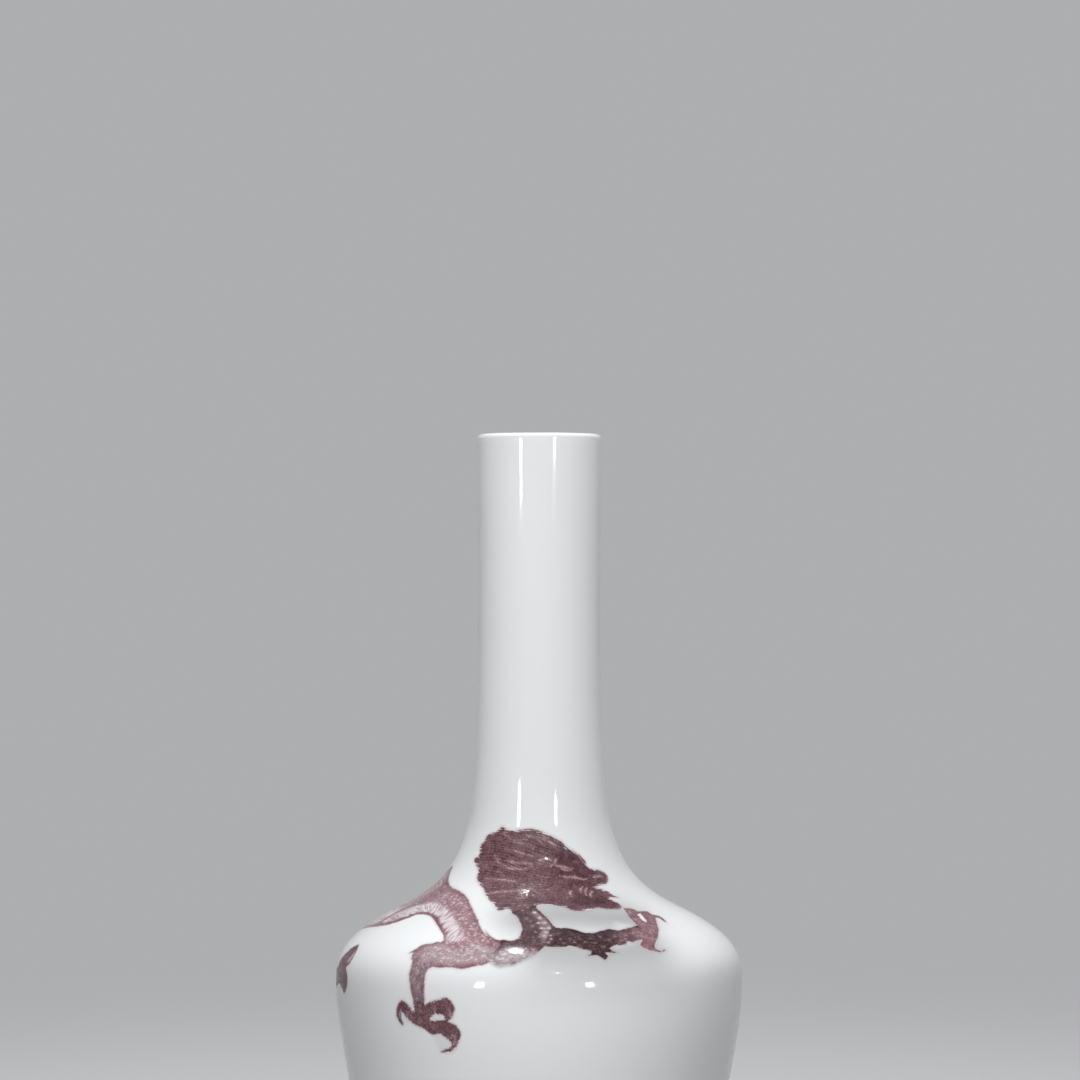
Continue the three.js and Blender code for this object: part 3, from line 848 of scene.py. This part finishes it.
def paint_dragon():
    # Painted shade: darkens the bare glaze under the jaw and below the raised foreleg
    draw("grey", HIGH_PAINTED_SHADE_LINE, 11, tapered=False)
    draw("grey", LOW_PAINTED_SHADE_LINE, 12, tapered=False)
    rear = band(REAR_BODY_LINE, REAR_BODY_HALF_WIDTHS)
    rear_belly = band(REAR_BELLY_LINE, REAR_BELLY_HALF_WIDTHS)
    lay(rear, REAR_BODY_LINE, density=0.42, scale=1.0, fray=0.2, rim=0.25)
    lay(FORE_BODY_OUTLINE, FORE_BODY_LINE, density=0.4, grey=0.0, scale=1.0, fray=0.2, rim=0.22)
    lay(rear_belly, REAR_BODY_LINE, blend=1.8, inner=True, density=0.1, scale=0.15, stroke=1.0)
    lay(BELLY_OUTLINE, FORE_BODY_LINE, blend=1.8, inner=True, density=0.09, scale=0.15, stroke=1.0)
    lay(TAIL_TUFT_OUTLINE, TAIL_TUFT_LINE, density=0.85, grey=0.3, hair=0.8, stroke=0, fray=0.5)
    lay(BACK_LEG_OUTLINE, BACK_LEG_LINE, density=0.62, grey=0.2, scale=0.6, stroke=0, fray=0.15, rim=0.2)
    lay(ELBOW_TUFT_OUTLINE, BACK_LEG_LINE, density=0.75, grey=0.2, hair=0.5, stroke=0, fray=0.4)
    lay(SIDE_FOOT_OUTLINE, SIDE_LEG_LINE, density=0.95, grey=0.1, hair=0.5, stroke=0, fray=0.3, rim=0.2)
    lay(THIGH_OUTLINE, SIDE_LEG_LINE, blend=4, inner=True, density=0.45, hair=0, stroke=0, scale=0.9, rim=0)
    lay(
        LOWERED_LEG_OUTLINE, LOWERED_LEG_LINE,
        density=0.5, grey=0.5, scale=0.5, stroke=0, fray=0.2, rim=0.08,
    )
    lay(UPPER_ARM_OUTLINE, UPPER_ARM_LINE, blend=3, inner=True, density=0.26, grey=0.4, scale=0.8, stroke=0)
    lay(FOOT_OUTLINE, LOWERED_LEG_LINE, blend=1.5, inner=True, density=0.88, grey=0.2, scale=0.25)
    lay(NECK_OUTLINE, NECK_LINE, density=1.2, grey=0.7, scale=0.5, stroke=0, fray=0.25, rim=0)
    lay(CHEST_OUTLINE, NECK_LINE, blend=1.0, inner=True, density=0.6, grey=0.9, scale=0.8)
    lay(THROAT_OUTLINE, NECK_LINE, blend=1.6, inner=True, density=0.3, grey=0.9, scale=0.9, rim=0)
    lay(RAISED_LEG_OUTLINE, RAISED_LEG_LINE, density=1.45, grey=0.75, scale=0.4, fray=0.3, rim=0.1)
    lay(HAND_OUTLINE, HAND_LINE, density=0.62, grey=0.05, scale=0.35, fray=0.1, rim=0.15)
    lay(WRIST_OUTLINE, HAND_LINE, blend=4, inner=True, density=0.85, grey=0.5)
    lay(MANE_OUTLINE, HAIR_LINES, density=0.96, grey=0.35, scale=0, stroke=0, hair=1.0, fray=0.85, rim=0.0)
    lay(FACE_OUTLINE, FACE_LINE, blend=1.5, inner=True, density=1.1, scale=0.35, hair=0.35, fray=0.15)
    for outline in (FOOT_GAP_OUTLINE, HAND_GAP_OUTLINE):
        clear(outline)
    for radius, change, view, points in PAINT_DABS:
        for place in seen(view, points):
            dab(place, radius, change)
    for layer, width, strength, view, lines in FINE_STROKES:
        for line in lines:
            draw(layer, seen(view, line), width, strength)


def clear(outline):
    """Leaves the glaze bare inside an outline."""
    outline = smooth(outline, closed=True)
    window = Window(outline, EDGE_REACH)
    paint["edge"][window.grid] = np.minimum(paint["edge"][window.grid], -window.depth(outline))


def store_paint(mesh, first_row):
    """Puts the painted layers on a mesh, three at a time as one vector at each vertex."""
    count = len(BAND_ROWS) * GLAZE_COLUMNS
    start = first_row * GLAZE_COLUMNS
    for name, layers in BRUSH_LAYERS.items():
        values = np.zeros((len(mesh.vertices), 3), np.float32)
        if layers[0] == "edge":
            values[:, 0] = BLANK
        values[start:start + count] = np.stack([paint[layer].ravel() for layer in layers], 1)
        attribute = mesh.attributes.new(name, "FLOAT_VECTOR", "POINT")
        attribute.data.foreach_set("vector", values.ravel())


# Clear glaze over white porcelain, its fainter clouds, and the share of light that one full coat of
# copper red lets through, fired pink or fired grey
GLAZE_WHITE = (0.79, 0.805, 0.82)
GLAZE_CLOUD = (0.77, 0.79, 0.81)
PINK_COAT = (0.19, 0.075, 0.09)
GREY_COAT = (0.135, 0.084, 0.09)
# How far the painted shade can darken the bare glaze round the paint
PAINTED_SHADE_SHARE = 0.5
HALO_SHARE = 0.07
GLAZE_BUMP = 0.06 * MM
GLAZE_REFRACTION = 1.5

# Bare clay and slip, each with its stain, and the specks of iron in them
PORCELAIN_COLOURS = (0.74, 0.70, 0.63), (0.66, 0.50, 0.36)
SLIP_COLOURS = (0.70, 0.66, 0.58), (0.62, 0.52, 0.42)
IRON_SPECK = (0.25, 0.15, 0.09)
CLAY_BUMP = 0.05 * MM
CLAY_REFRACTION = 1.45


def glaze_roughness(g, place):
    return g.rise(g.noise(place, 90, 3), 0.3, 0.7, 0.05, 0.09)


def glaze_height(g, place):
    """Slow ripple of the fired glaze with a fine orange peel, as a share of the bump's distance."""
    ripple = g.noise(place, 70, 1)
    peel = g.noise(place, 420, 2)
    return g.add(g.times(ripple, 0.8), g.times(peel, 0.06))


def painted_glaze():
    g = Graph(bpy.data.materials.new("painted_glaze"))
    place = g.position()
    edge, density, grey = g.attribute("brush_body")
    hair, stroke, scale = g.attribute("brush_pattern")
    across, along, fray = g.attribute("brush_run")
    pale, dark, rim = g.attribute("brush_touches")

    waver = g.swing(g.vector(g.times(across, 0.35), g.times(along, 0.12)), 1.0, 1)
    comb = g.math("SINE", g.add(g.times(across, 8.4), g.times(waver, 3.0)))
    strands = g.swing(g.vector(g.times(across, 1.5), g.times(along, 0.09)), 1.0, 1)
    fine_strands = g.swing(g.vector(g.times(across, 4.5), g.times(along, 0.25)), 1.0, 1)
    teeth = g.math("PINGPONG", g.add(g.times(across, 0.95), g.times(strands, 0.3)), 0.5)
    tips = g.times(teeth, teeth)
    slant = g.add(along, g.times(across, 0.6))
    ribs = g.swing(g.vector(g.times(slant, 1.7), g.times(across, 0.3)), 1.0, 1)
    blotch = g.swing(place, 420, 3)
    grain = g.swing(place, 1900, 2)
    cells = g.node(
        "ShaderNodeTexVoronoi",
        {"Vector": g.vector(g.times(along, 0.7), across), "Scale": 0.95, "Randomness": 0.95},
        feature="F1",
    ).outputs["Distance"]
    scallops = g.rise(cells, 0.1, 0.6, -0.9, 0.7)

    bristles = g.times(fray, g.add(g.times(tips, 7.0), g.times(fine_strands, 0.6), -0.8))
    outline = g.add(edge, bristles, g.times(blotch, 0.2), g.times(grain, 0.18))
    covered = g.rise(outline, -0.3, 0.38)
    halo = g.times(g.rise(outline, -1.1, 0.2), HALO_SHARE)

    combed = g.times(comb, g.add(strands, 1.8), 0.08)
    hairs = g.add(combed, g.times(strands, 0.05), g.times(fine_strands, 0.11))
    mottle = g.add(g.times(blotch, 0.2), g.times(grain, 0.3))
    coat = g.add(
        density,
        g.times(hair, hairs),
        g.times(stroke, ribs, 0.34),
        g.times(scale, scallops, 0.18),
        g.times(density, mottle),
        g.times(rim, g.rise(edge, 0.0, 2.0, 1.0, 0.0)),
        dark,
    )
    coat = g.times(g.math("MAXIMUM", coat, 0.02), g.math("SUBTRACT", 1.0, pale))
    specks = g.times(g.rise(g.noise(place, 2100, 1), 0.64, 0.72), 0.45)
    amount = g.add(g.times(covered, g.add(coat, g.times(specks, coat))), halo)

    through = g.parts(g.mix(grey, PINK_COAT, GREY_COAT))
    # Painted shade: outside the outline, the layer that greys the paint darkens the bare glaze
    painted_shade = g.times(grey, g.math("SUBTRACT", 1.0, covered), PAINTED_SHADE_SHARE)
    unshaded = g.math("SUBTRACT", 1.0, painted_shade)
    colour = g.vector(*[
        g.times(g.math("POWER", part, amount), unshaded, white) for part, white in zip(through, GLAZE_WHITE)
    ])
    painted = g.times(covered, g.math("MINIMUM", coat, 1.0))
    matt = g.times(g.rise(painted, 0.6, 1.0), g.add(0.08, g.times(hair, 0.36)))
    roughness = g.add(glaze_roughness(g, place), matt)
    crust = g.times(painted, g.noise(place, 1500, 2), 0.05)
    height = g.add(glaze_height(g, place), crust)
    return g.surface(colour, roughness, height, GLAZE_BUMP, GLAZE_REFRACTION)


def plain_glaze(name):
    g = Graph(bpy.data.materials.new(name))
    place = g.position()
    colour = g.mix(g.rise(g.noise(place, 60, 2), 0.3, 0.7), GLAZE_CLOUD, GLAZE_WHITE)
    height = glaze_height(g, place)
    return g.surface(colour, glaze_roughness(g, place), height, GLAZE_BUMP, GLAZE_REFRACTION)


def bare_clay(name, colour, stain):
    """Bare fired clay: matt and fine-grained, with a few iron specks and a warm flush."""
    g = Graph(bpy.data.materials.new(name))
    place = g.position()
    grain = g.noise(place, 2200, 3)
    flush = g.rise(g.noise(place, 120, 2), 0.4, 0.75)
    specks = g.rise(g.noise(place, 1400, 1), 0.68, 0.74)
    body = g.mix(g.times(flush, 0.5), colour, stain)
    body = g.mix(g.times(specks, 0.6), body, IRON_SPECK)
    roughness = g.rise(grain, 0.2, 0.8, 0.7, 0.92)
    height = g.add(g.times(grain, 0.5), g.noise(place, 500, 2))
    return g.surface(body, roughness, height, CLAY_BUMP, CLAY_REFRACTION)


def add_bake_places(mesh, sections):
    """Texture places for the outer glaze, with most of the room for the painted band. A section has
    a first and a last row, the box of its first part in the texture, and its number of parts there."""
    margin = 0.004
    uv = np.zeros((len(mesh.loops), 2), np.float32)
    row, column = np.divmod(np.arange(len(mesh.polygons)), GLAZE_COLUMNS)
    corner_row = np.stack([row, row, row + 1, row + 1], 1)
    corner_column = np.stack([column, column + 1, column + 1, column], 1)
    for first, last, low, high, left, right, parts in sections:
        chosen = (row >= first) & (row < last)
        part = column[chosen, None] * parts // GLAZE_COLUMNS
        turn = corner_column[chosen] * parts / GLAZE_COLUMNS - part
        up = (corner_row[chosen] - first) / (last - first)
        u = left + part % 2 * (right - left) + margin + turn * (right - left - 2 * margin)
        v = low + part // 2 * (high - low) + margin + up * (high - low - 2 * margin)
        uv.reshape(-1, 4, 2)[chosen] = np.stack([u, v], 2)
    mesh.uv_layers.new(name="OFBake").data.foreach_set("uv", uv.ravel())


def add_outer_glaze():
    sections = [
        LOWER_ROWS, BAND_ROWS[1:], NECK_ROWS[1:], LIP_ROWS[1:], MOUTH_ROWS[1:], HIDDEN_MOUTH_ROWS,
        HIDDEN_OUTSIDE_ROWS,
    ]
    piece = turned("outer_glaze_coat", np.concatenate(sections), GLAZE_COLUMNS)
    paint_dragon()
    first_row = len(LOWER_ROWS) - 1
    store_paint(piece.data, first_row)
    band_end = first_row + len(BAND_ROWS) - 1
    mouth_end = band_end + len(NECK_ROWS) + len(LIP_ROWS) + len(MOUTH_ROWS) - 3
    total = sum(len(rows) for rows in sections)
    add_bake_places(piece.data, [
        (0, first_row, 0.84, 0.92, 0, 0.5, 1),
        (first_row, band_end, 0, 0.42, 0, 0.5, 4),
        (band_end, mouth_end, 0.84, 1, 0.5, 1, 1),
        (mouth_end, total, 0.92, 1, 0, 0.5, 1),
    ])
    painted = [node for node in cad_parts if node.startswith("dragon_")]
    finish_piece(piece, painted_glaze(), "clear_glaze", "outer_glaze", *painted)


def add_inner_glaze():
    face = HOLLOW[HOLLOW[:, 1] < MOUTH_SEAM_HEIGHT]
    back = hollow_at(GLAZE_COAT)[:len(face)]
    line = np.concatenate([evenly(back), evenly(face)[::-1]])
    add_plain_piece("hollow_glaze", line, plain_glaze("hollow_glaze"), "clear_glaze", "inner_glaze")


def add_base_glaze():
    top = FOOT_RING_DEPTH - BASE_GLAZE_GAP
    edge = outside_at(CLAY_DEPTH)[0, 0] - FOOT_RING_WALL - FOOT_COVE - BASE_GLAZE_GAP
    bead = arc((edge - GLAZE_COAT, top), GLAZE_COAT, -90, 0, points=8)
    line = np.concatenate([[[0, top - GLAZE_COAT]], bead, [[edge, top], [0, top]]])
    add_plain_piece("base_glaze_coat", line, plain_glaze("base_glaze"), "clear_glaze", "base_glaze")


def wall_loop(low, high):
    inner = between(hollow_at(CLAY_DEPTH), low, high)
    return np.concatenate([between(outside_at(CLAY_DEPTH), low, high), inner[::-1]])


def lower_body_line():
    """Middle of the recessed base, round the foot ring, up the wall and down to the floor's middle."""
    top = BODY_JOINT_HEIGHT - HALF_SLIP
    outer = outside_at(CLAY_DEPTH)
    foot_outer = outer[0, 0]
    foot_inner = foot_outer - FOOT_RING_WALL
    middle = [[0, FOOT_RING_DEPTH]]
    cove = arc((foot_inner - FOOT_COVE, FOOT_RING_DEPTH - FOOT_COVE), FOOT_COVE, 90, 0)
    inner_bevel = arc((foot_inner + FOOT_BEVEL, FOOT_BEVEL), FOOT_BEVEL, 180, 270)
    outer_bevel = arc((foot_outer - FOOT_BEVEL, FOOT_BEVEL), FOOT_BEVEL, -90, 0)
    wall = between(outer, GLAZE_LINE_HEIGHT, top)
    hollow = hollow_at(CLAY_DEPTH)
    lining = evenly(hollow[hollow[:, 1] < top])
    return np.concatenate([middle, cove, inner_bevel, outer_bevel, wall, lining[::-1]])


def add_clay():
    clay = bare_clay("porcelain_biscuit", *PORCELAIN_COLOURS)
    slip = bare_clay("luting_slip", *SLIP_COLOURS)
    shoulder = wall_loop(BODY_JOINT_HEIGHT + HALF_SLIP, NECK_JOINT_HEIGHT - HALF_SLIP)
    neck = wall_loop(NECK_JOINT_HEIGHT + HALF_SLIP, VASE_HEIGHT - CLAY_DEPTH)
    for name, height in ("body", BODY_JOINT_HEIGHT), ("neck", NECK_JOINT_HEIGHT):
        line = wall_loop(height - HALF_SLIP, height + HALF_SLIP)
        add_plain_piece(f"{name}_slip_ring", line, slip, "luting_slip", f"{name}_luting_slip")
    for name, line, node in (
        ("foot_and_body_clay", lower_body_line(), "lower_body"),
        ("shoulder_clay", shoulder, "shoulder"),
        ("neck_clay", neck, "neck"),
    ):
        add_plain_piece(name, line, clay, "porcelain", node)


# Studio: a pale floor that melts into a pale backdrop
BACKDROP = (0.42, 0.425, 0.435)
AMBIENT = (0.12, 0.122, 0.126)
FLOOR_PALE = (0.46, 0.465, 0.475)
FLOOR_DIM = (0.16, 0.162, 0.166)
FLOOR_REACH = 12
FLOOR_MELTS_FROM = 0.15
FLOOR_MELTS_TO = 0.75


def shown(g):
    """1 where the camera sees, also by a reflection or through something, and 0 where light falls."""
    path = g.node("ShaderNodeLightPath").outputs
    seen_or_mirrored = g.math("MAXIMUM", path["Is Camera Ray"], path["Is Glossy Ray"])
    return g.math("MAXIMUM", seen_or_mirrored, path["Is Transmission Ray"])


def add_world():
    world = bpy.data.worlds.new("studio")
    g = Graph(world)
    background = g.node("ShaderNodeBackground", {"Color": g.mix(shown(g), AMBIENT, BACKDROP)}).outputs[0]
    g.node("ShaderNodeOutputWorld", {"Surface": background})
    bpy.context.scene.world = world


def add_floor():
    mesh = bpy.data.meshes.new("floor")
    corners = [(FLOOR_REACH * x, FLOOR_REACH * y, 0) for x, y in ((-1, -1), (1, -1), (1, 1), (-1, 1))]
    mesh.from_pydata(corners, [], [(0, 1, 2, 3)])
    floor = add_object("floor", mesh)
    g = Graph(bpy.data.materials.new("studio_floor"))
    distance = g.node("ShaderNodeVectorMath", {0: g.position()}, operation="LENGTH").outputs["Value"]
    visible = shown(g)
    diffuse = g.node("ShaderNodeBsdfDiffuse", {"Color": g.mix(visible, FLOOR_DIM, FLOOR_PALE)}).outputs[0]
    glow = g.node("ShaderNodeEmission", {"Color": g.mix(visible, AMBIENT, BACKDROP)}).outputs[0]
    far = g.rise(distance, FLOOR_MELTS_FROM, FLOOR_MELTS_TO)
    blend = g.node("ShaderNodeMixShader", {0: far, 1: diffuse, 2: glow}).outputs[0]
    g.node("ShaderNodeOutputMaterial", {"Surface": blend})
    mesh.materials.append(g.owner)


# Each lamp: azimuth and elevation in degrees from its aim, distance, width and height in metres,
# its brightness, the height that it is aimed at in mm, and whether the glaze mirrors it
LAMPS = {
    "front_fill": (-4, 4, 0.45, 0.35, 0.26, 4.9, 236, False),
    "high_back_panel": (-165, 66, 1.0, 0.7, 0.3, 8.3, 100, False),
    "back_fill": (180, 0, 1.3, 1.0, 0.7, 2.2, 140, False),
    "left_fill": (-110, 60, 1.3, 0.7, 0.8, 1.0, 100, False),
    "right_fill": (110, 60, 1.3, 0.7, 0.8, 4.0, 100, False),
    "left_strip": (-33, 11, 0.9, 0.07, 0.17, 22, 128, True),
    "right_strip": (28, 11.7, 0.9, 0.065, 0.15, 22, 128, True),
    "top_lamp": (-90, 82.6, 1.0, 0.13, 0.068, 62, 89, True),
    "small_lamp": (12, 44, 1.0, 0.05, 0.02, 60, 81, True),
}


def direction(azimuth, elevation):
    turn, lift = math.radians(azimuth), math.radians(elevation)
    return np.array([math.sin(turn) * math.cos(lift), -math.cos(turn) * math.cos(lift), math.sin(lift)])


def add_lamps():
    for name, (azimuth, elevation, distance, width, height, brightness, aim, mirrored) in LAMPS.items():
        lamp = bpy.data.lights.new(name, "AREA")
        lamp.shape = "RECTANGLE"
        lamp.size = width
        lamp.size_y = height
        lamp.energy = math.pi * brightness * width * height
        holder = add_object(name, lamp)
        holder.location = (0, 0, aim * MM) + distance * direction(azimuth, elevation)
        holder.rotation_euler = (math.radians(90 - elevation), 0, math.radians(azimuth))
        holder.visible_camera = False
        holder.visible_glossy = mirrored


def add_camera():
    camera = bpy.data.cameras.new("camera")
    camera.sensor_width = SENSOR_WIDTH_MM
    camera.lens = FOCAL_PIXELS / PICTURE_SIZE * SENSOR_WIDTH_MM
    camera.clip_end = CAMERA_REACH
    holder = add_object("camera", camera)
    holder.location = CAMERA_PLACE
    holder.rotation_euler = (math.pi / 2, 0, 0)
    bpy.context.scene.camera = holder
    bpy.context.scene.view_settings.view_transform = "Standard"


add_camera()
add_outer_glaze()
add_inner_glaze()
add_base_glaze()
add_clay()
add_world()
add_floor()
add_lamps()
